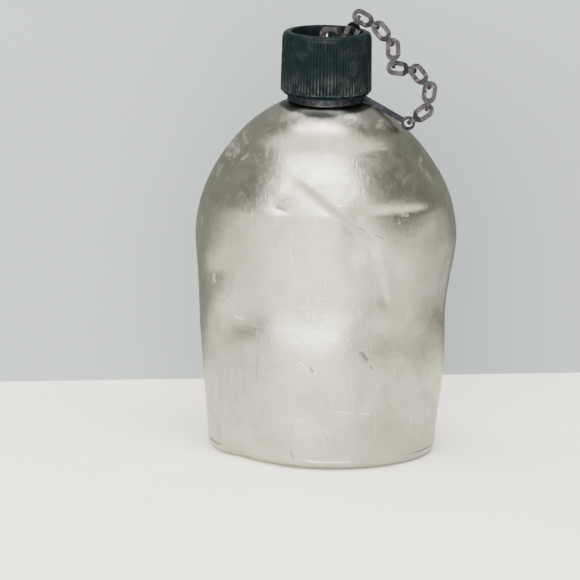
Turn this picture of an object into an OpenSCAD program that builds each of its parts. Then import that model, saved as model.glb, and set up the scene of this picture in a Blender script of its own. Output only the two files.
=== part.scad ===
// One-quart field canteen: aluminium body, screw cap, neck strap and retaining chain.
// Units are millimetres. The origin is on the plane of the flat base, below the neck's axis.
// +Z is up, the convex front of the body faces -Y and the chain hangs on the +X side.

/* [Body] */
// Widest width of the body
body_w = 128; // [110:1:150]
// Width of the flat base
base_w = 111; // [90:1:130]
// Height of the body up to its collar
body_h = 175.6; // [150:0.1:200]
// Height at which the body is widest
belly_z = 104; // [80:1:130]
// Half thickness of the body, front to back, at the middle of its width
belly_t = 29.5; // [22:0.1:36]
// Half thickness at the base
base_t = 27.5; // [20:0.1:34]
// How far the ends of the kidney bend back at the widest place
bend = 25; // [0:0.5:32]
// Radius between the base and the side
base_r = 5; // [2:0.5:10]
// Thickness of the drawn aluminium
wall = 1.1; // [0.8:0.1:2]

/* [Neck] */
// Outer radius of the neck, without its thread
neck_r = 17; // [14:0.1:20]
// Radius of the mouth
mouth_r = 14.5; // [11:0.1:16]
// Height of the lip
lip_z = 194.4; // [190:0.1:205]
// Rise of the thread in one turn
pitch = 4.5; // [3:0.5:7]
// How far the thread stands out
thread_h = 1.3; // [0.6:0.1:1.6]

/* [Cap] */
// Height of the cap's lower edge
cap_z = 179.6; // [178:0.1:185]
// Height of the cap
cap_h = 29.6; // [24:0.1:34]
// Radius over the ribs at their lower end
cap_r = 21.8; // [20:0.1:24]
// How much smaller the radius is at the top
cap_taper = 0.5; // [0:0.1:1.5]
// Number of ribs
ribs = 84; // [48:4:120]
// Radius of the recess in the top
recess_r = 16.2; // [12:0.1:18]
// Depth of the recess
recess_d = 7.5; // [4:0.1:9]
// Thickness of the crown
crown_t = 3.4; // [1.6:0.1:4]

/* [Pin] */
// Radius of the pin's shank
shank_r = 2; // [1.5:0.1:3]
// Thickness of the washers
washer_t = 0.6; // [0.4:0.1:1]
// Wire radius of the staple loop
wire_r = 0.8; // [0.6:0.1:1.2]

/* [Neck strap] */
// Height of the strap
strap_h = 2.8; // [2:0.1:4]
// Thickness of the strap
strap_t = 1.1; // [0.8:0.1:1.5]
// Distance of the eye from the neck's axis
eye_x = 39.5; // [34:0.1:44]
// Height of the eye
eye_z = 166; // [160:0.1:172]

/* [Chain] */
// Distance between the two pivots of a link
link_p = 10.7; // [9:0.1:13]
// Thickness of a link's leaf
leaf_t = 0.7; // [0.5:0.1:1]
// Radius of the slot's ends
slot_r = 1.3; // [1:0.1:2]
// Width of the metal round the slot
link_rim = 2.2; // [1.5:0.1:3]
// Direction of each link at rest, in degrees above the +X direction, from the pin to the eye
drape = [-3.8, 65.3, -29.9, -49.9, -86.8, -6.6, -50.1, -97.39, -142.86];

/* [Hidden] */
$fn = 72;
CLEAR = 0.05;
RUN = 0.3;

// Body
AROUND = 40;
RINGS_OUT = 24;
RINGS_IN = 18;
squareness = 2.4;
collar_r = neck_r + 0.5;
spigot_r = neck_r - 0.6;
floor_t = wall + 0.1;
rise = body_h - belly_z;

// Cap
crown_z = cap_z + cap_h - recess_d - crown_t;
floor_z = crown_z + crown_t;
top_z = cap_z + cap_h;
cap_bore = neck_r + thread_h + 0.5;
ledge_z = cap_z + 1.7;
rib_d = 0.45;
rib_root = cap_r - rib_d - 0.5;
rib_top = top_z - 2.6;
rim_round = 2.2;

// Pin, from the recess's floor upwards
washer_z = floor_z + CLEAR;
head_z = washer_z + washer_t + CLEAR;
head_t = 0.85;
head_r = 4;
eye_gap = 1.5;
pivot_z = floor_z + 6;
burr_t = 0.8;
burr_r = 5;

// Link
slot_l = 3.6;
link_r = slot_r + link_rim;
waist = 0.9;
fold_gap = 1.5;
fold_r = fold_gap + leaf_t;

// ---------- body ----------

// Share of the full shoulder left at height z: 1 at the widest place, 0 at the collar.
function dome(z, power) = z <= belly_z ? 1 : pow(max(0, 1 - pow((z - belly_z) / rise, 2)), power);

// Share of the belly's swell at height z below the widest place.
function swell(z) = z >= belly_z ? 1 : 1 - pow(1 - z / belly_z, 1.2);

// Half width and half thickness of the outside at height z.
function half_w(z) = z <= belly_z ? base_w / 2 + (body_w - base_w) / 2 * swell(z)
    : collar_r + (body_w / 2 - collar_r) * dome(z, 0.76);
function half_t(z) = z <= belly_z ? base_t + (belly_t - base_t) * swell(z)
    : collar_r + (belly_t - collar_r) * dome(z, 0.5);

// How far the base's rounded edge draws the outline in at height z.
function foot(z, r) = z >= r ? 0 : r - sqrt(r * r - (r - z) * (r - z));

// Squareness of the outline: full on the body, and a circle at the collar.
function square_at(z) = 2 + (squareness - 2) * dome(z, 0.5);

function signed_pow(v, e) = sign(v) * pow(abs(v), e);

// One closed ring of the kidney outline at height z, drawn in by inset.
function ring(z, inset, out_z) = let (
        w = half_w(z) - inset,
        t = half_t(z) - inset,
        e = 2 / square_at(z),
        curve = bend * (pow(half_w(z), 2) - pow(collar_r, 2)) / pow(body_w / 2, 2))
    [for (i = [0 : AROUND - 1]) let (
            a = 360 * i / AROUND,
            x = w * signed_pow(cos(a), e),
            y = t * signed_pow(sin(a), e))
        [x, y + curve * pow(x / half_w(z), 2), out_z]];

// Heights of the rings: close together at the foot and the shoulder.
function spread(i, n, low, high) = low + (high - low) * (1 - cos(180 * i / n)) / 2;

function outer_rings() = concat(
    [for (i = [0 : 3]) let (z = base_r * (1 - cos(90 * i / 4))) ring(z, foot(z, base_r), z)],
    [for (i = [0 : RINGS_OUT]) let (z = spread(i, RINGS_OUT, base_r, body_h)) ring(z, 0, z)]);

function inner_rings() = concat(
    [for (i = [0 : 2]) let (z = base_r * (1 - cos(90 * i / 3)))
        ring(z, wall + foot(z, base_r), floor_t + z * (base_r - floor_t) / base_r)],
    [for (i = [0 : RINGS_IN]) let (z = spread(i, RINGS_IN, base_r, body_h - 0.4))
        ring(z, wall + 0.8 * (1 - dome(z, 0.5)), z)]);

// Faces between ring k and ring k + 1, seen from outside.
function band(k) = [for (i = [0 : AROUND - 1]) let (
        a = k * AROUND + i,
        b = k * AROUND + (i + 1) % AROUND,
        c = b + AROUND,
        d = a + AROUND)
    each [[a, c, b], [a, d, c]]];

module skin(rings) {
    last = len(rings) - 1;
    polyhedron(
        points = [for (r = rings) each r],
        faces = concat(
            [[for (i = [0 : AROUND - 1]) i]],
            [for (k = [0 : last - 1]) each band(k)],
            [[for (i = [0 : AROUND - 1]) last * AROUND + AROUND - 1 - i]]),
        convexity = 6);
}

module body_shell() {
    color([0.72, 0.71, 0.69])
        difference() {
            skin(outer_rings());
            skin(inner_rings());
            translate([0, 0, body_h - 6])
                cylinder(r = spigot_r + CLEAR, h = 8);
        }
}

// ---------- neck ----------

// A screw ridge: foot radius ra, crest radius rb, from height z0, over the given turns.
module ridge(ra, rb, z0, start, turns) {
    steps = 30;
    count = round(turns * steps);
    foot_h = pitch * 0.42;
    crest_h = pitch * 0.2;
    points = [for (i = [0 : count]) let (
            a = start + 360 * i / steps,
            z = z0 + pitch * i / steps,
            fade = min(1, i / 6, (count - i) / 6),
            r = ra + (rb - ra) * max(0.02, fade))
        each [
            [ra * cos(a), ra * sin(a), z - foot_h / 2],
            [r * cos(a), r * sin(a), z - crest_h / 2],
            [r * cos(a), r * sin(a), z + crest_h / 2],
            [ra * cos(a), ra * sin(a), z + foot_h / 2]]];
    sides = [for (i = [0 : count - 1]) each [for (j = [0 : 3]) let (
            a = 4 * i + j,
            b = 4 * i + (j + 1) % 4)
        each rb > ra ? [[a, a + 4, b], [b, a + 4, b + 4]] : [[a, b, a + 4], [b, b + 4, a + 4]]]];
    ends = rb > ra ? [[3, 2, 1, 0], [4 * count, 4 * count + 1, 4 * count + 2, 4 * count + 3]]
        : [[0, 1, 2, 3], [4 * count + 3, 4 * count + 2, 4 * count + 1, 4 * count]];
    polyhedron(points = points, faces = concat(sides, ends), convexity = 8);
}

module neck() {
    color([0.74, 0.73, 0.71])
        union() {
            rotate_extrude()
                polygon([
                    [mouth_r, body_h - 3],
                    [spigot_r, body_h - 3],
                    [spigot_r, body_h + CLEAR],
                    [neck_r, body_h + CLEAR],
                    [neck_r, lip_z - 0.8],
                    [neck_r - 0.8, lip_z],
                    [mouth_r + 0.5, lip_z],
                    [mouth_r, lip_z - 0.5]]);
            ridge(neck_r - 0.4, neck_r + thread_h, cap_z + 3, 0, 2.2);
        }
}

// ---------- neck strap ----------

module neck_ring() {
    inner = neck_r + RUN;
    low = body_h + 0.8;
    tail_x = inner + strap_t / 2;
    tail_z = low + strap_h / 2;
    length = norm([eye_x - tail_x, eye_z - tail_z]);
    slope = atan2(tail_z - eye_z, eye_x - tail_x);
    eye_hole = 2;
    eye_r = 3.3;
    color([0.2, 0.19, 0.19])
        difference() {
            union() {
                translate([0, 0, low])
                    cylinder(r = inner + strap_t, h = strap_h);
                translate([tail_x, 0, tail_z])
                    rotate([0, slope, 0])
                    rotate([90, 0, 0])
                    linear_extrude(height = 2 * strap_t, center = true)
                    union() {
                        translate([0, -strap_h / 2 + 0.15])
                            square([length - 1, strap_h - 0.3]);
                        translate([length, 0])
                            circle(r = eye_r);
                    }
            }
            translate([0, 0, low - 2])
                cylinder(r = inner, h = strap_h + 4);
            translate([eye_x, 0, eye_z])
                rotate([90, 0, 0])
                cylinder(r = eye_hole, h = 10, center = true);
        }
}

// ---------- cap ----------

// The cap's outside, above its ledge, as a solid of revolution grown by out.
module envelope(out, low) {
    rotate_extrude()
        polygon(concat(
            [[0, low], [cap_r + out, low]],
            [for (a = [0 : 15 : 90]) [
                cap_r - cap_taper + out - rim_round + rim_round * cos(a),
                top_z - rim_round + rim_round * sin(a)]],
            [[0, top_z]]));
}

module rib_prism() {
    step = 360 / ribs;
    translate([0, 0, ledge_z])
        linear_extrude(height = rib_top - ledge_z)
        polygon([for (i = [0 : ribs - 1]) each [
            [rib_root * cos(step * i), rib_root * sin(step * i)],
            [cap_r * cos(step * (i + 0.3)), cap_r * sin(step * (i + 0.3))],
            [cap_r * cos(step * (i + 0.7)), cap_r * sin(step * (i + 0.7))]]]);
}

module cap_shell() {
    color([0.06, 0.06, 0.06])
        union() {
            difference() {
                union() {
                    envelope(-rib_d, ledge_z);
                    intersection() {
                        rib_prism();
                        envelope(0, cap_z);
                    }
                    rotate_extrude()
                        polygon([
                            [cap_bore - 0.2, cap_z],
                            [cap_r - 1.5, cap_z],
                            [cap_r - 0.2, ledge_z - 0.2],
                            [cap_r - 0.2, ledge_z + 0.4],
                            [cap_bore - 0.2, ledge_z + 0.4]]);
                }
                translate([0, 0, cap_z - 1])
                    cylinder(r = cap_bore, h = crown_z - cap_z + 1);
                translate([0, 0, floor_z])
                    cylinder(r1 = recess_r, r2 = recess_r + 0.8, h = recess_d + 1);
                cylinder(r = shank_r + CLEAR, h = 300);
            }
            ridge(cap_bore + 0.4, cap_bore - thread_h, cap_z + 3, 180, 2.2);
        }
}

module gasket() {
    color([0.33, 0.22, 0.14])
        difference() {
            translate([0, 0, lip_z + CLEAR])
                cylinder(r = cap_bore - RUN, h = crown_z - lip_z - 2 * CLEAR);
            cylinder(r = burr_r + 1, h = 300);
        }
}

// ---------- pin ----------

module cap_pin() {
    loop_z = pivot_z - eye_gap - wire_r;
    leg = eye_gap + wire_r;
    color([0.5, 0.42, 0.38])
        union() {
            translate([0, 0, crown_z - burr_t - 2 * CLEAR - 0.6])
                cylinder(r1 = shank_r + 0.4, r2 = shank_r + 0.9, h = 0.6);
            translate([0, 0, crown_z - burr_t - 0.4])
                cylinder(r = shank_r, h = head_z - crown_z + burr_t + 0.6);
            translate([0, 0, head_z])
                cylinder(r = head_r, h = head_t);
            for (side = [-1, 1])
                translate([0, side * leg, head_z])
                    cylinder(r = wire_r, h = loop_z - head_z);
            translate([0, 0, loop_z])
                rotate([90, 0, 90])
                rotate_extrude(angle = 180)
                translate([leg, 0])
                circle(r = wire_r, $fn = 32);
        }
}

module plate_washer(r, z, t) {
    translate([0, 0, z])
        difference() {
            cylinder(r = r, h = t);
            translate([0, 0, -1])
                cylinder(r = shank_r + CLEAR, h = t + 2);
        }
}

module pin_washer() {
    color([0.45, 0.43, 0.41])
        plate_washer(head_r + 1.6, washer_z, washer_t);
}

module pin_burr() {
    color([0.45, 0.43, 0.41])
        plate_washer(burr_r, crown_z - burr_t - CLEAR, burr_t);
}

// ---------- chain ----------

// A link stands on its fold: the fold's pivot is at the origin, the slot's pivot at z = link_p.
module link_face() {
    difference() {
        union() {
            for (z = [link_p, link_p - slot_l])
                translate([0, z])
                    circle(r = link_r);
            translate([-link_r, link_p - slot_l])
                square([2 * link_r, slot_l]);
            polygon([[-waist, -1], [waist, -1], [waist, 2.9], [link_r - 0.6, 5.6],
                [0.6 - link_r, 5.6], [-waist, 2.9]]);
        }
        for (z = [link_p, link_p - slot_l])
            translate([0, z])
                circle(r = slot_r, $fn = 32);
        translate([-slot_r, link_p - slot_l])
            square([2 * slot_r, slot_l]);
    }
}

module link_side() {
    bow_z = fold_gap + leaf_t / 2;
    knee = 3.7;
    shut = 6.1;
    difference() {
        union() {
            translate([0, bow_z])
                circle(r = fold_r, $fn = 32);
            polygon([[-fold_r, bow_z], [fold_r, bow_z], [fold_r, knee], [leaf_t, shut],
                [leaf_t, link_p + link_r + 1], [-leaf_t, link_p + link_r + 1],
                [-leaf_t, shut], [-fold_r, knee]]);
        }
        translate([0, bow_z])
            circle(r = fold_gap, $fn = 32);
        polygon([[-fold_gap, bow_z], [fold_gap, bow_z], [fold_gap, knee], [0, shut],
            [-fold_gap, knee]]);
    }
}

module link() {
    intersection() {
        rotate([90, 0, 0])
            linear_extrude(height = 4 * fold_r, center = true)
            link_face();
        rotate([90, 0, 90])
            linear_extrude(height = 4 * link_r, center = true)
            link_side();
    }
}

// Place of the fold end of link k, counted from 1; link 0 is the pin's loop.
function joint_at(k) = k == 0 ? [0, 0, pivot_z]
    : joint_at(k - 1) + link_p * [cos(drape[k - 1]), 0, sin(drape[k - 1])];

module chain_link(k) {
    a = drape[k - 1];
    color([0.24, 0.23, 0.23])
        translate(joint_at(k))
        rotate([0, atan2(-cos(a), -sin(a)), 0])
        link();
}

body_shell();
neck();
neck_ring();
cap_shell();
cap_pin();
pin_washer();
pin_burr();
gasket();
chain_link(1);  // chain_link_1
chain_link(2);  // chain_link_2
chain_link(3);  // chain_link_3
chain_link(4);  // chain_link_4
chain_link(5);  // chain_link_5
chain_link(6);  // chain_link_6
chain_link(7);  // chain_link_7
chain_link(8);  // chain_link_8
chain_link(9);  // chain_link_9
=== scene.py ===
"""Looks of the one-quart field canteen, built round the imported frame. Lengths are in metres."""
import math

import bpy
import numpy as np
from mathutils import Matrix, Vector


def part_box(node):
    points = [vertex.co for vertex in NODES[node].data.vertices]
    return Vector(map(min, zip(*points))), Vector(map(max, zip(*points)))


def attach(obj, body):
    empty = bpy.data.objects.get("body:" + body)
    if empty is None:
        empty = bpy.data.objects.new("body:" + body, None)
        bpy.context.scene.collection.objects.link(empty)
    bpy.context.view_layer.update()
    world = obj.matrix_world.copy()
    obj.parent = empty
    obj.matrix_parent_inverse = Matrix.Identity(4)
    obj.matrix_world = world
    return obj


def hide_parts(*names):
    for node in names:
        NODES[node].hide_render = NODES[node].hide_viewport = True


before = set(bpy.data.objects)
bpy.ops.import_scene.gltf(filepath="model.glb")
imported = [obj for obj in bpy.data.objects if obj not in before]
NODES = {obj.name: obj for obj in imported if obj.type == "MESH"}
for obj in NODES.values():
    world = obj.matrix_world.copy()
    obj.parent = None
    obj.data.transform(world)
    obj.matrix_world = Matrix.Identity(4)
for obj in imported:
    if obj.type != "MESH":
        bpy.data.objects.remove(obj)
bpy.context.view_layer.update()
MM = 0.001


# ---------- sizes, from the frame ----------

body_lo, body_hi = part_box("body_shell")
cap_lo, cap_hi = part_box("cap_shell")
ring_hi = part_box("neck_ring")[1]

BODY_W = body_hi[0] - body_lo[0]
BODY_H = body_hi[2]
BASE_W = BODY_W * 0.867
BELLY_Z = BODY_H * 0.592
BELLY_T = -body_lo[1]
BASE_T = BELLY_T - 2 * MM
BEND = 25 * MM
BASE_R = 5 * MM
NECK_R = 17 * MM
COLLAR_R = NECK_R + 0.5 * MM
SPIGOT_R = NECK_R - 0.6 * MM
SQUARENESS = 2.4

CAP_R = (cap_hi[0] - cap_lo[0]) / 2
CAP_Z = cap_lo[2]
CAP_TOP = cap_hi[2]


# ---------- camera ----------

def make_camera():
    """A long lens a little above the object and slightly to its right, as in the photograph."""
    azimuth, elevation, roll = math.radians(4), math.radians(13.5), math.radians(1.0)
    distance, view_w = 1.6, 0.280
    aim = Vector((-15.5 * MM, 0, 82.5 * MM))
    back = Vector((math.sin(azimuth) * math.cos(elevation),
                   -math.cos(azimuth) * math.cos(elevation), math.sin(elevation)))
    data = bpy.data.cameras.new("camera")
    data.sensor_width = 36
    data.lens = data.sensor_width * distance / view_w
    camera = bpy.data.objects.new("camera", data)
    camera.rotation_mode = "QUATERNION"
    camera.location = aim + back * distance
    turn = (-back).to_track_quat("-Z", "Y")
    camera.rotation_quaternion = turn @ Matrix.Rotation(roll, 3, "Z").to_quaternion()
    data.clip_start, data.clip_end = 0.01, 100
    bpy.context.collection.objects.link(camera)
    bpy.context.scene.camera = camera


make_camera()


# ---------- materials ----------

class Nodes:
    """A small helper that adds shader nodes and wires them."""

    def __init__(self, name):
        self.mat = bpy.data.materials.new(name)
        self.mat.use_nodes = True
        self.tree = self.mat.node_tree
        self.bsdf = self.tree.nodes["Principled BSDF"]
        self.coords = self.tree.nodes.new("ShaderNodeTexCoord").outputs["Object"]

    def put(self, socket, value):
        if isinstance(value, bpy.types.NodeSocket):
            self.tree.links.new(value, socket)
        else:
            socket.default_value = value

    def set(self, **values):
        names = {"color": "Base Color", "metal": "Metallic", "rough": "Roughness",
                 "normal": "Normal", "specular": "Specular IOR Level"}
        for key, value in values.items():
            self.put(self.bsdf.inputs[names[key]], value)

    def math(self, op, a, b=0.0, clamp=False):
        node = self.tree.nodes.new("ShaderNodeMath")
        node.operation = op
        node.use_clamp = clamp
        self.put(node.inputs[0], a)
        self.put(node.inputs[1], b)
        return node.outputs[0]

    def stretch(self, scale, turn=(0, 0, 0)):
        node = self.tree.nodes.new("ShaderNodeMapping")
        self.put(node.inputs["Vector"], self.coords)
        node.inputs["Scale"].default_value = scale
        node.inputs["Rotation"].default_value = turn
        return node.outputs[0]

    def noise(self, scale, detail=4.0, rough=0.55, vector=None, distortion=0.0):
        node = self.tree.nodes.new("ShaderNodeTexNoise")
        self.put(node.inputs["Vector"], vector or self.coords)
        node.inputs["Scale"].default_value = scale
        node.inputs["Detail"].default_value = detail
        node.inputs["Roughness"].default_value = rough
        node.inputs["Distortion"].default_value = distortion
        return node.outputs["Fac"]

    def cells(self, scale):
        node = self.tree.nodes.new("ShaderNodeTexVoronoi")
        self.put(node.inputs["Vector"], self.coords)
        node.inputs["Scale"].default_value = scale
        return node.outputs["Distance"]

    def ramp(self, value, low, high, to_low=0.0, to_high=1.0):
        node = self.tree.nodes.new("ShaderNodeMapRange")
        node.interpolation_type = "SMOOTHSTEP"
        self.put(node.inputs["Value"], value)
        node.inputs["From Min"].default_value = low
        node.inputs["From Max"].default_value = high
        node.inputs["To Min"].default_value = to_low
        node.inputs["To Max"].default_value = to_high
        return node.outputs["Result"]

    def mix(self, fac, a, b):
        node = self.tree.nodes.new("ShaderNodeMix")
        node.data_type = "RGBA"
        self.put(node.inputs["Factor"], fac)
        self.put(node.inputs["A"], a)
        self.put(node.inputs["B"], b)
        return node.outputs["Result"]

    def bump(self, height, strength, distance, normal=None):
        node = self.tree.nodes.new("ShaderNodeBump")
        node.inputs["Strength"].default_value = strength
        node.inputs["Distance"].default_value = distance
        self.put(node.inputs["Height"], height)
        if normal is not None:
            self.put(node.inputs["Normal"], normal)
        return node.outputs["Normal"]

    def axis(self, index):
        node = self.tree.nodes.new("ShaderNodeSeparateXYZ")
        self.put(node.inputs[0], self.coords)
        return node.outputs[index]

    def from_axis(self):
        """Distance from the neck's axis."""
        x, y = self.axis(0), self.axis(1)
        return self.math("SQRT", self.math("ADD", self.math("MULTIPLY", x, x),
                                           self.math("MULTIPLY", y, y)))

    def scratch(self, a, b, width, wobble):
        """1 on the stroke from a to b, (x, z) points on the front, and 0 beyond its width."""
        x, z = self.axis(0), self.axis(2)
        dx, dz = b[0] - a[0], b[1] - a[1]
        length2 = dx * dx + dz * dz
        rx = self.math("SUBTRACT", x, a[0])
        rz = self.math("SUBTRACT", z, a[1])
        if length2 > 0:
            along = self.math("ADD", self.math("MULTIPLY", rx, dx / length2),
                              self.math("MULTIPLY", rz, dz / length2))
            along = self.math("MINIMUM", self.math("MAXIMUM", along, 0.0), 1.0)
            rx = self.math("SUBTRACT", rx, self.math("MULTIPLY", along, dx))
            rz = self.math("SUBTRACT", rz, self.math("MULTIPLY", along, dz))
        far = self.math("SQRT", self.math("ADD", self.math("MULTIPLY", rx, rx),
                                          self.math("MULTIPLY", rz, rz)))
        far = self.math("ADD", far, wobble)
        return self.ramp(far, width * 0.1, width, 1.0, 0.0)


# Marks on the front of the body: from, to, width and darkness. Points are (x, z) in millimetres.
MARKS = [
    ((-29, 78), (-29.6, 40), 0.75, 0.42), ((-37, 68), (-25, 68.4), 0.7, 0.55),
    ((-48, 77), (-44, 82), 0.6, 0.5), ((4, 30.5), (25, 28), 0.4, -0.5),
    ((-12.4, 112), (-12.6, 104), 0.4, 0.5), ((55, 137), (62, 118), 0.7, 0.45),
    ((21, 58.3), (23.5, 55.3), 2.5, 0.95), ((25.6, 51.6), (26, 50.8), 1.1, 0.8),
    ((-9, 54.5), (-4, 51), 0.5, -0.6), ((-3.2, 51.2), (-2.2, 49.8), 1.3, 0.8),
    ((-20.5, 128), (-17.5, 127), 1.5, 0.75), ((-22, 130), (-15, 132.5), 0.6, 0.6),
    ((38, 124.4), (40.5, 123.8), 1.0, 0.8), ((26.5, 115.5), (29.5, 114), 1.1, 0.8),
    ((18.5, 119.5), (21, 118), 0.9, 0.7), ((-12.2, 8.5), (-10.8, 6.2), 1.1, 0.75),
    ((5.2, 16.5), (5.4, 16.2), 1.2, 0.7), ((26.8, 156), (29, 155.8), 0.9, 0.6),
    ((-36, 150), (-39, 147), 0.9, 0.4), ((6, 92), (14, 90), 0.35, -0.3),
    ((-41, 71.5), (-37, 71), 0.8, -0.8), ((-52.2, 89), (-52, 86), 1.2, -0.9),
]


def aluminium():
    """Worn satin aluminium: mottled oxide, soft handling marks, fine scratches and pits, with painted shade
    on the flanks and the right pinch and a painted shadow under the cap.
    """
    m = Nodes("worn_aluminium")
    cloud = m.noise(28, 5, 0.6)
    mottle = m.noise(110, 6, 0.65, distortion=0.6)
    grime = m.ramp(m.noise(60, 7, 0.7, distortion=1.2), 0.56, 0.74)
    speck = m.ramp(m.noise(620, 3, 0.6), 0.66, 0.76)
    fine_a = m.ramp(m.noise(900, 2, 0.5, m.stretch((1, 1, 0.035), (0, 0.25, 0))), 0.64, 0.72)
    fine_b = m.ramp(m.noise(800, 2, 0.5, m.stretch((0.04, 1, 1), (0, 0.5, 0))), 0.65, 0.73)
    fine_c = m.ramp(m.noise(700, 2, 0.5, m.stretch((1, 1, 0.05), (0, -0.7, 0))), 0.67, 0.74)
    hair = m.math("MAXIMUM", fine_a, m.math("MAXIMUM", fine_b, fine_c))
    wobble = m.math("MULTIPLY", m.math("SUBTRACT", m.noise(700, 4, 0.65), 0.45), 0.0026)
    dark, light = 0.0, 0.0
    for a, b, width, depth in MARKS:
        stroke = m.scratch([v * MM for v in a], [v * MM for v in b], width * MM, wobble)
        stroke = m.math("MULTIPLY", stroke, abs(depth))
        if depth > 0:
            dark = m.math("MAXIMUM", dark, stroke)
        else:
            light = m.math("MAXIMUM", light, stroke)
    front = m.ramp(m.axis(1), -2 * MM, 4 * MM, 1.0, 0.0)
    dark = m.math("MULTIPLY", dark, front)
    light = m.math("MULTIPLY", light, front)
    base = m.mix(m.ramp(cloud, 0.35, 0.65), (0.385, 0.38, 0.325, 1), (0.31, 0.305, 0.26, 1))
    base = m.mix(m.math("MULTIPLY", m.ramp(mottle, 0.45, 0.7), 0.35), base, (0.28, 0.27, 0.21, 1))
    base = m.mix(m.math("MULTIPLY", grime, 0.30), base, (0.36, 0.33, 0.28, 1))
    base = m.mix(m.math("MULTIPLY", speck, 0.35), base, (0.24, 0.22, 0.19, 1))
    base = m.mix(m.math("MULTIPLY", hair, 0.22), base, (0.66, 0.65, 0.62, 1))
    # painted shadow: the body's top inside the cap's radius is turned near black, standing in for the shadow
    # under the cap
    painted_cap_shadow = m.math("ADD", m.from_axis(), m.math("MULTIPLY", m.noise(240, 5, 0.6), 1.6 * MM))
    painted_cap_shadow = m.math("MULTIPLY", m.ramp(painted_cap_shadow, CAP_R + 0.2 * MM, CAP_R + 1.8 * MM, 0.97, 0.0),
                    m.ramp(m.axis(2), BODY_H - 20 * MM, BODY_H - 14 * MM))
    # painted shade: the colour darkens towards the left and right sides, standing in for their darker
    # reflections
    painted_flank_shade = m.math("ADD", m.math("ABSOLUTE", m.axis(0)), m.math("MULTIPLY", cloud, 12 * MM))
    painted_flank_shade = m.math("MULTIPLY", m.ramp(painted_flank_shade, BODY_W / 2 - 6 * MM, BODY_W / 2 + 7 * MM), 0.36)
    # painted shade: a darker patch over the pinched dent on the right flank
    painted_pinch_shade = m.math("MULTIPLY", m.scratch((54 * MM, 106 * MM), (55 * MM, 72 * MM), 15 * MM, wobble), 0.6)
    base = m.mix(painted_flank_shade, base, (0.24, 0.245, 0.21, 1))
    base = m.mix(painted_pinch_shade, base, (0.13, 0.13, 0.12, 1))
    base = m.mix(light, base, (0.8, 0.79, 0.76, 1))
    base = m.mix(dark, base, (0.07, 0.065, 0.055, 1))
    # the painted shadow under the cap goes on last
    base = m.mix(painted_cap_shadow, base, (0.025, 0.03, 0.03, 1))
    rough = m.ramp(mottle, 0.3, 0.75, 0.30, 0.43)
    rough = m.math("ADD", rough, m.math("MULTIPLY", grime, 0.12))
    rough = m.math("ADD", rough, m.math("MULTIPLY", dark, 0.3), clamp=True)
    height = m.math("SUBTRACT", m.math("MULTIPLY", mottle, 0.5), m.math("MULTIPLY", hair, 0.25))
    height = m.math("SUBTRACT", height, m.math("MULTIPLY", dark, 0.9))
    height = m.math("SUBTRACT", height, m.math("MULTIPLY", light, 0.4))
    height = m.math("SUBTRACT", height, m.math("MULTIPLY", speck, 0.35))
    soft = m.bump(cloud, 0.5, 1.6 * MM)
    normal = m.bump(height, 0.55, 0.22 * MM, soft)
    metal = m.math("SUBTRACT", 1.0, m.math("MULTIPLY", dark, 0.8))
    metal = m.math("SUBTRACT", metal, m.math("MULTIPLY", grime, 0.25))
    m.set(color=base, metal=metal, rough=rough, normal=normal)
    return m.mat


def plain_aluminium():
    m = Nodes("neck_aluminium")
    wear = m.noise(180, 5, 0.6)
    rings = m.noise(700, 2, 0.5, m.stretch((0.05, 0.05, 1)))
    color = m.mix(m.ramp(wear, 0.4, 0.7), (0.55, 0.54, 0.5, 1), (0.34, 0.33, 0.3, 1))
    # painted shade: the neck below the top of the neck ring is turned near black, where the cap and ring
    # shade it
    painted_ring_shade = m.ramp(m.axis(2), ring_hi[2], ring_hi[2] + 1 * MM, 0.95, 0.0)
    m.set(color=m.mix(painted_ring_shade, color, (0.02, 0.022, 0.022, 1)),
          metal=1.0, rough=m.ramp(wear, 0.3, 0.7, 0.28, 0.48),
          normal=m.bump(rings, 0.3, 0.05 * MM))
    return m.mat


def dark_steel(name, base, rust, gloss=0.34, rubbed=0.3):
    """Blued steel with rubbed edges and a little rust."""
    m = Nodes(name)
    cloud = m.noise(260, 6, 0.65, distortion=0.4)
    bloom = m.ramp(m.noise(420, 6, 0.7), 0.54, 0.7)
    rub = m.ramp(m.noise(700, 4, 0.6), 0.6, 0.72)
    color = m.mix(m.ramp(cloud, 0.35, 0.7), base, [v * 0.5 for v in base[:3]] + [1])
    color = m.mix(m.math("MULTIPLY", bloom, rust), color, (0.13, 0.075, 0.045, 1))
    color = m.mix(m.math("MULTIPLY", rub, rubbed), color, (0.45, 0.44, 0.43, 1))
    rough = m.math("ADD", m.ramp(cloud, 0.3, 0.7, gloss, gloss + 0.2),
                   m.math("MULTIPLY", bloom, 0.2 * rust))
    metal = m.math("SUBTRACT", 1.0, m.math("MULTIPLY", bloom, 0.7 * rust))
    height = m.math("ADD", cloud, m.math("MULTIPLY", bloom, 0.6))
    m.set(color=color, metal=metal, rough=rough, normal=m.bump(height, 0.5, 0.08 * MM))
    return m.mat


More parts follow.
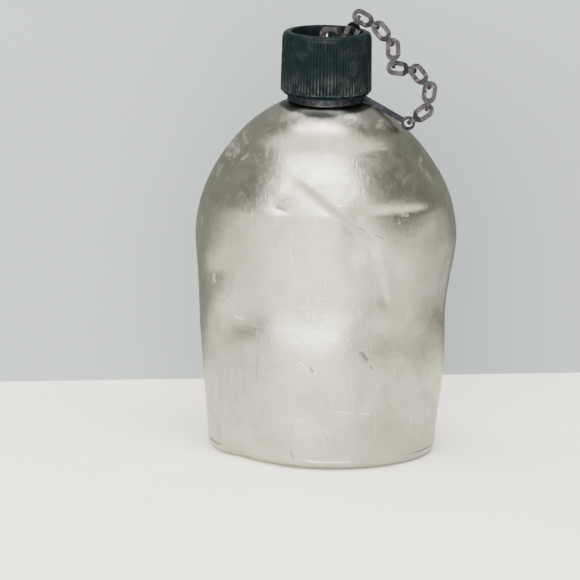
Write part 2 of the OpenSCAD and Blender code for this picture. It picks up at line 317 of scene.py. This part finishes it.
def moulded_cap():
    """Old black phenolic: semi-matt, dusty in the grooves, rubbed bright on the edges."""
    m = Nodes("cap_moulding")
    dust = m.noise(150, 6, 0.65, distortion=0.5)
    grain = m.noise(1400, 3, 0.6)
    hair = m.ramp(m.noise(900, 2, 0.5, m.stretch((1, 1, 0.05), (0.2, 0.5, 0))), 0.66, 0.74)
    rub = m.math("MULTIPLY", m.ramp(m.from_axis(), CAP_R - 0.28 * MM, CAP_R - 0.02 * MM),
                 m.ramp(m.noise(260, 4, 0.6), 0.4, 0.65))
    low = m.ramp(m.axis(2), CAP_Z, CAP_TOP, 0.5, 0.1)
    color = m.mix(m.ramp(dust, 0.4, 0.75), (0.003, 0.0065, 0.0075, 1), (0.008, 0.012, 0.013, 1))
    color = m.mix(m.math("MULTIPLY", m.ramp(dust, 0.55, 0.8), low), color, (0.045, 0.042, 0.036, 1))
    color = m.mix(m.math("MULTIPLY", rub, 0.4), color, (0.07, 0.075, 0.075, 1))
    color = m.mix(m.math("MULTIPLY", hair, 0.06), color, (0.15, 0.15, 0.15, 1))
    rough = m.math("ADD", m.ramp(dust, 0.3, 0.75, 0.17, 0.32), m.math("MULTIPLY", hair, 0.1))
    m.set(color=color, metal=0.0, rough=rough, specular=0.03,
          normal=m.bump(m.math("ADD", grain, hair), 0.25, 0.05 * MM))
    return m.mat


def cork():
    m = Nodes("gasket_cork")
    crumb = m.cells(900)
    tone = m.noise(300, 5, 0.6)
    m.set(color=m.mix(m.ramp(tone, 0.3, 0.7), (0.42, 0.27, 0.15, 1), (0.2, 0.12, 0.06, 1)),
          rough=m.ramp(crumb, 0.0, 0.7, 0.9, 0.7), normal=m.bump(crumb, 0.6, 0.2 * MM))
    return m.mat


# ---------- mesh tools ----------

def make_object(name, verts, faces, material, smooth=True):
    mesh = bpy.data.meshes.new(name)
    mesh.from_pydata([tuple(v) for v in verts], [], faces)
    mesh.materials.append(material)
    mesh.update()
    mesh.shade_smooth() if smooth else mesh.shade_flat()
    obj = bpy.data.objects.new(name, mesh)
    bpy.context.collection.objects.link(obj)
    return obj


def grid_faces(rows, cols, start=0):
    """Quads between rows of a closed ring of cols points each."""
    faces = []
    for k in range(rows - 1):
        for i in range(cols):
            a = start + k * cols + i
            b = start + k * cols + (i + 1) % cols
            faces.append((a, b, b + cols, a + cols))
    return faces


def smoothstep(v):
    v = np.clip(v, 0, 1)
    return v * v * (3 - 2 * v)


# ---------- body ----------

def dome(z, power):
    u = np.clip((z - BELLY_Z) / (BODY_H - BELLY_Z), 0, 1)
    return (1 - u * u) ** power


def swell(z):
    return 1 - np.clip(1 - z / BELLY_Z, 0, 1) ** 1.2


def outline(z, inset, around):
    """The kidney outline at height z, as the CAD body has it, drawn in by inset."""
    if z <= BELLY_Z:
        half_w = BASE_W / 2 + (BODY_W - BASE_W) / 2 * swell(z)
        half_t = BASE_T + (BELLY_T - BASE_T) * swell(z)
    else:
        half_w = COLLAR_R + (BODY_W / 2 - COLLAR_R) * dome(z, 0.76)
        half_t = COLLAR_R + (BELLY_T - COLLAR_R) * dome(z, 0.5)
    power = 2 / (2 + (SQUARENESS - 2) * dome(z, 0.5))
    curve = BEND * (half_w ** 2 - COLLAR_R ** 2) / (BODY_W / 2) ** 2
    x = (half_w - inset) * np.sign(np.cos(around)) * np.abs(np.cos(around)) ** power
    y = (half_t - inset) * np.sign(np.sin(around)) * np.abs(np.sin(around)) ** power
    return np.stack([x, y + curve * (x / half_w) ** 2, np.full_like(x, z)], 1)


def along(x, z, a, b):
    """Share of the way along a to b, and distance to its left, for points in the (x, z) plane."""
    a, b = np.array(a) * MM, np.array(b) * MM
    d = b - a
    length = np.hypot(*d)
    t = ((x - a[0]) * d[0] + (z - a[1]) * d[1]) / length ** 2
    side = ((z - a[1]) * d[0] - (x - a[0]) * d[1]) / length
    return t, side


def window(t, soft=0.18):
    """1 between 0 and 1, with soft ends."""
    return smoothstep((t + soft) / (2 * soft)) * smoothstep((1 + soft - t) / (2 * soft))


def bowl(x, z, at, radii, turn=0.0, flat=2.0):
    """A round-bottomed or flat-bottomed hollow: 1 in the middle, 0 outside."""
    c, s = math.cos(math.radians(turn)), math.sin(math.radians(turn))
    dx, dz = x - at[0] * MM, z - at[1] * MM
    u = (dx * c + dz * s) / (radii[0] * MM)
    v = (-dx * s + dz * c) / (radii[1] * MM)
    return np.exp(-(u * u + v * v) ** (flat / 2))


def dent_depth(co, normal):
    """How far each point of the body is knocked in, in metres."""
    x, y, z = co.T
    front = smoothstep((-normal[:, 1] + 0.15) / 0.5)
    back = smoothstep((normal[:, 1] + 0.15) / 0.5)
    right = smoothstep((normal[:, 0] - 0.1) / 0.6)
    left = smoothstep((-normal[:, 0] - 0.1) / 0.6)
    depth = np.zeros(len(co))
    # the shoulder slopes back from the flat of the front
    rise = np.clip((z / MM - 124) / (BODY_H / MM - 126), 0, 1)
    depth += 3.0 * front * np.sin(np.pi * rise) ** 1.2
    # the wide, nearly flat hollow in the middle of the front
    depth += 3.8 * front * bowl(x, z, (-3, 97), (35, 34), -18, 4.4)
    # the diagonal crease along its upper right edge
    for a, b, deep, fade in (((-9, 140), (27, 113), 2.4, 13), ((27, 113), (35, 82), 1.3, 12)):
        t, side = along(x, z, a, b)
        below = -side / MM
        fall = smoothstep((below + 1) / 3) * np.exp(-np.maximum(below, 0) / fade)
        depth += deep * front * window(t) * fall
    # the level fold on the right of the shoulder, with a facet below it
    t, side = along(x, z, (14, 126), (50, 125.5))
    depth += 2.1 * front * window(t, 0.14) * np.exp(-np.abs(side / MM) / np.where(side > 0, 3.0, 12))
    # small knocks
    depth += 1.6 * front * bowl(x, z, (-38, 70), (11, 8), 8)
    depth += 0.8 * front * bowl(x, z, (-52, 92), (5, 6))
    depth += 0.9 * front * bowl(x, z, (-20, 128), (4, 3))
    depth += 1.0 * front * bowl(x, z, (26, 64), (15, 9), 30)
    depth += 0.8 * front * bowl(x, z, (-6, 28), (20, 9))
    depth += 0.7 * front * bowl(x, z, (36, 26), (12, 10))
    # the pinched right flank and the milder left one
    depth += 2.4 * front * bowl(x, z, (57, 88), (13, 25), 0, 2.6)
    depth += 2.8 * right * bowl(np.abs(y) * 0.6, z, (0, 74), (26, 22), 0, 2.6)
    depth += 1.0 * right * bowl(y, z, (4, 122), (9, 13))
    depth += 0.7 * left * bowl(y, z, (6, 84), (14, 12))
    # the back has its own knocks
    depth += 1.6 * back * bowl(x, z, (24, 110), (13, 9), 25)
    depth += 1.2 * back * bowl(x, z, (-28, 62), (10, 15), -20)
    # slow waviness everywhere
    wave = (np.sin(x / MM / 9.0 + 1.3) * np.sin(z / MM / 11.0 + 0.4)
            + 0.6 * np.sin(x / MM / 5.3 - z / MM / 7.1)
            + 0.4 * np.sin(z / MM / 4.1 + y / MM / 6.0))
    depth += 0.10 * (wave + 2.0)
    ends = smoothstep((z - 1.5 * MM) / (7 * MM)) * smoothstep((BODY_H - 7 * MM - z) / (14 * MM))
    return depth * ends * MM


def make_body(material):
    cols = 320
    around = np.linspace(0, 2 * math.pi, cols, endpoint=False)
    foot = [BASE_R * (1 - math.cos(a)) for a in np.linspace(0, math.pi / 2, 9)[:-1]]
    side = list(BASE_R + (BODY_H - BASE_R) * (1 - np.cos(np.linspace(0, math.pi, 190))) / 2)
    levels = foot + side
    rows = []
    for z in levels:
        inset = BASE_R - math.sqrt(max(0, BASE_R ** 2 - (BASE_R - z) ** 2)) if z < BASE_R else 0
        rows.append(outline(z, inset, around))
    co = np.concatenate(rows)
    grid = co.reshape(len(levels), cols, 3)
    across = np.roll(grid, -1, 1) - np.roll(grid, 1, 1)
    up = np.gradient(grid, axis=0)
    normal = np.cross(across, up).reshape(-1, 3)
    normal /= np.maximum(np.linalg.norm(normal, axis=1, keepdims=True), 1e-12)
    co = co - normal * dent_depth(co, normal)[:, None]
    # the left of the base is knocked back a little
    co[:, 1] += 4.5 * MM * bowl(co[:, 0], co[:, 2], (-42, 0), (24, 16)) * smoothstep(-co[:, 1] / (16 * MM))
    verts = list(co)
    faces = grid_faces(len(levels), cols)
    # the flat base, as rings that shrink to its middle
    centre = co[:cols].mean(0)
    previous = 0
    for share in (0.9, 0.6, 0.3):
        start = len(verts)
        verts += [centre + (v - centre) * share for v in co[:cols]]
        faces += [(previous + (i + 1) % cols, previous + i, start + i, start + (i + 1) % cols)
                  for i in range(cols)]
        previous = start
    faces.append(tuple(previous + i for i in reversed(range(cols))))
    # the collar's edge, turned into the hole that the neck sits in
    last = (len(levels) - 1) * cols
    for radius, z in ((SPIGOT_R, BODY_H), (SPIGOT_R, BODY_H - 4 * MM)):
        start = len(verts)
        verts += [(radius * math.cos(a), radius * math.sin(a), z) for a in around]
        faces += [(last + i, last + (i + 1) % cols, start + (i + 1) % cols, start + i)
                  for i in range(cols)]
        last = start
    body = make_object("body", verts, faces, material)
    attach(body, "bottle")
    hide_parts("body_shell")


# ---------- cap ----------

RIBS = 84
LEDGE_Z = CAP_Z + 1.7 * MM
RIB_TOP = CAP_TOP - 2.6 * MM
RIB_D = 0.45 * MM
RECESS_R = 16.2 * MM
FLOOR_Z = CAP_TOP - 7.5 * MM
CROWN_T = 3.4 * MM
BORE_R = NECK_R + 1.8 * MM
SHANK_R = 2.05 * MM
TAPER = 0.5 * MM
ROUND = 2.2 * MM


def cap_radius(z):
    """Outer radius over the ribs at height z."""
    return CAP_R - TAPER * (z - CAP_Z) / (CAP_TOP - CAP_Z)


def cap_profile():
    """(radius, height, rib depth) points from the bore's mouth round the outside to the shank's hole."""
    profile = [(BORE_R, FLOOR_Z - CROWN_T, 0), (BORE_R, CAP_Z + 0.5 * MM, 0),
               (BORE_R + 0.4 * MM, CAP_Z, 0), (CAP_R - 1.7 * MM, CAP_Z, 0),
               (CAP_R - 1.45 * MM, CAP_Z + 0.08 * MM, 0), (CAP_R - 0.45 * MM, LEDGE_Z - 0.35 * MM, 0),
               (CAP_R - 0.12 * MM, LEDGE_Z - 0.15 * MM, 0), (CAP_R - 0.05 * MM, LEDGE_Z, 0),
               (CAP_R - 0.05 * MM, LEDGE_Z + 0.3 * MM, 0.05), (CAP_R - 0.1 * MM, LEDGE_Z + 0.5 * MM, 0.8)]
    for z in np.linspace(LEDGE_Z + 0.8 * MM, RIB_TOP - 0.8 * MM, 10):
        profile.append((cap_radius(z), z, 1))
    profile += [(cap_radius(RIB_TOP), RIB_TOP - 0.3 * MM, 0.8), (cap_radius(RIB_TOP), RIB_TOP, 0.25)]
    top_r = CAP_R - TAPER - 0.2 * MM
    for a in np.linspace(0.12, math.pi / 2, 9):
        profile.append((top_r - ROUND + ROUND * math.cos(a), CAP_TOP - ROUND + ROUND * math.sin(a), 0))
    lip_r = RECESS_R + 0.75 * MM
    for a in np.linspace(0, math.pi / 2, 6):
        profile.append((lip_r + 0.7 * MM * (1 - math.sin(a)), CAP_TOP - 0.7 * MM * (1 - math.cos(a)), 0))
    for share in (0.3, 0.6, 0.85):
        radius = RECESS_R + (lip_r - RECESS_R) * (1 - share)
        profile.append((radius, CAP_TOP + (FLOOR_Z - CAP_TOP) * share, 0))
    for a in np.linspace(0, math.pi / 2, 5):
        profile.append((RECESS_R - 0.8 * MM * (1 - math.cos(a)), FLOOR_Z + 0.8 * MM * (1 - math.sin(a)), 0))
    profile += [(10 * MM, FLOOR_Z, 0), (SHANK_R, FLOOR_Z, 0), (SHANK_R, FLOOR_Z - CROWN_T, 0),
                (10 * MM, FLOOR_Z - CROWN_T, 0)]
    return profile


def make_cap(material):
    per_rib = 12
    cols = RIBS * per_rib
    angle = np.linspace(0, 2 * math.pi, cols, endpoint=False)
    phase = (np.arange(cols) % per_rib) / per_rib
    groove = np.clip(np.abs(phase - 0.5) * 2 - 0.35, 0, 1) / 0.65
    groove = smoothstep(groove)
    verts = []
    profile = cap_profile()
    for radius, z, rib in profile:
        r = radius - RIB_D * rib * groove
        verts += list(np.stack([r * np.cos(angle), r * np.sin(angle), np.full(cols, z)], 1))
    faces = grid_faces(len(profile), cols)
    last = (len(profile) - 1) * cols
    faces += [(last + i, last + (i + 1) % cols, (i + 1) % cols, i) for i in range(cols)]
    cap = make_object("cap", verts, faces, material)
    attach(cap, "cap")
    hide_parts("cap_shell")


# ---------- carried-over CAD pieces ----------

def finish_node(name, material, bevel):
    """Softens a CAD node's edges and gives it its material."""
    obj = NODES[name]
    obj.data.materials.clear()
    obj.data.materials.append(material)
    if bevel:
        mod = obj.modifiers.new("soft_edges", "BEVEL")
        mod.width = bevel
        mod.segments = 3
        mod.limit_method = "ANGLE"
        mod.angle_limit = math.radians(32)
        mod.harden_normals = True
    for polygon in obj.data.polygons:
        polygon.use_smooth = True


# ---------- surroundings ----------

def make_stage():
    """A cream table top against a pale blue-grey wall."""
    m = Nodes("table_top")
    m.set(color=m.mix(m.ramp(m.noise(9, 4, 0.6), 0.3, 0.7), (0.90, 0.865, 0.80, 1), (0.86, 0.825, 0.765, 1)),
          rough=0.6, normal=m.bump(m.noise(500, 3, 0.5), 0.08, 0.1 * MM))
    slope, far, near, wide, tall = 0.2, 0.15, -1.8, 1.6, 1.5
    left, right = far - wide * slope, far + wide * slope
    table = make_object("table_top", [(-wide, near, 0), (wide, near, 0), (wide, right, 0), (-wide, left, 0)],
                        [(0, 1, 2, 3)], m.mat, smooth=False)
    w = Nodes("wall_paint")
    w.set(rough=0.9, normal=w.bump(w.noise(120, 5, 0.6), 0.3, 0.3 * MM))
    # the wall is dim in reflections, as a room's corner is, and from behind it lets the view through
    seen = w.tree.nodes.new("ShaderNodeLightPath").outputs["Is Glossy Ray"]
    w.set(color=w.mix(seen, (0.26, 0.305, 0.325, 1), (0.08, 0.09, 0.09, 1)))
    shader = w.tree.nodes.new("ShaderNodeMixShader")
    clear = w.tree.nodes.new("ShaderNodeBsdfTransparent")
    behind = w.tree.nodes.new("ShaderNodeNewGeometry").outputs["Backfacing"]
    w.put(shader.inputs[0], behind)
    w.put(shader.inputs[1], w.bsdf.outputs[0])
    w.put(shader.inputs[2], clear.outputs[0])
    w.put(w.tree.nodes["Material Output"].inputs["Surface"], shader.outputs[0])
    wall = make_object("wall", [(-wide, left, 0), (wide, right, 0), (wide, right, tall), (-wide, left, tall)],
                       [(0, 1, 2, 3)], w.mat, smooth=False)
    world = bpy.data.worlds.new("room")
    world.use_nodes = True
    tree = world.node_tree
    dim = tree.nodes["Background"]
    dim.inputs["Color"].default_value = (0.60, 0.62, 0.62, 1)
    dim.inputs["Strength"].default_value = 0.34
    pale = tree.nodes.new("ShaderNodeBackground")
    pale.inputs["Color"].default_value = (0.60, 0.63, 0.63, 1)
    seen = tree.nodes.new("ShaderNodeLightPath").outputs["Is Camera Ray"]
    shader = tree.nodes.new("ShaderNodeMixShader")
    tree.links.new(seen, shader.inputs[0])
    tree.links.new(dim.outputs[0], shader.inputs[1])
    tree.links.new(pale.outputs[0], shader.inputs[2])
    tree.links.new(shader.outputs[0], tree.nodes["World Output"].inputs["Surface"])
    bpy.context.scene.world = world


def area_light(name, at, aim, size, power, color=(1, 1, 1)):
    data = bpy.data.lights.new(name, "AREA")
    data.shape = "RECTANGLE"
    data.size, data.size_y = size
    data.energy = power
    data.color = color
    obj = bpy.data.objects.new(name, data)
    obj.location = at
    obj.rotation_mode = "QUATERNION"
    obj.rotation_quaternion = (Vector(aim) - Vector(at)).to_track_quat("-Z", "Y")
    bpy.context.collection.objects.link(obj)


def make_lights():
    middle = (0, 0, 0.1)
    area_light("window", (-0.2, -1.5, 0.58), middle, (1.9, 0.75), 78, (1, 0.96, 0.88))
    area_light("ceiling", (-0.1, -0.25, 1.5), middle, (2.2, 0.7), 84, (1, 0.965, 0.90))
    area_light("rear_fill", (0.3, 1.5, 0.6), middle, (1.1, 0.8), 16, (0.97, 0.99, 1))


# ---------- assembly ----------

def build():
    make_body(aluminium())
    make_cap(moulded_cap())
    finish_node("neck", plain_aluminium(), 0.1 * MM)
    finish_node("gasket", cork(), 0.2 * MM)
    washers = dark_steel("washer_steel", (0.35, 0.33, 0.31, 1), 0.3)
    finish_node("pin_washer", washers, 0.1 * MM)
    finish_node("pin_burr", washers, 0.1 * MM)
    finish_node("cap_pin", dark_steel("pin_metal", (0.50, 0.40, 0.36, 1), 0.25, 0.25), 0.15 * MM)
    finish_node("neck_ring", dark_steel("strap_steel", (0.02, 0.023, 0.03, 1), 0.3, 0.45, 0.1), 0.15 * MM)
    links = dark_steel("chain_steel", (0.04, 0.038, 0.045, 1), 0.6, 0.42, 0.22)
    for name in sorted(n for n in NODES if n.startswith("chain_link_")):
        finish_node(name, links, 0.16 * MM)
    make_stage()
    make_lights()


build()
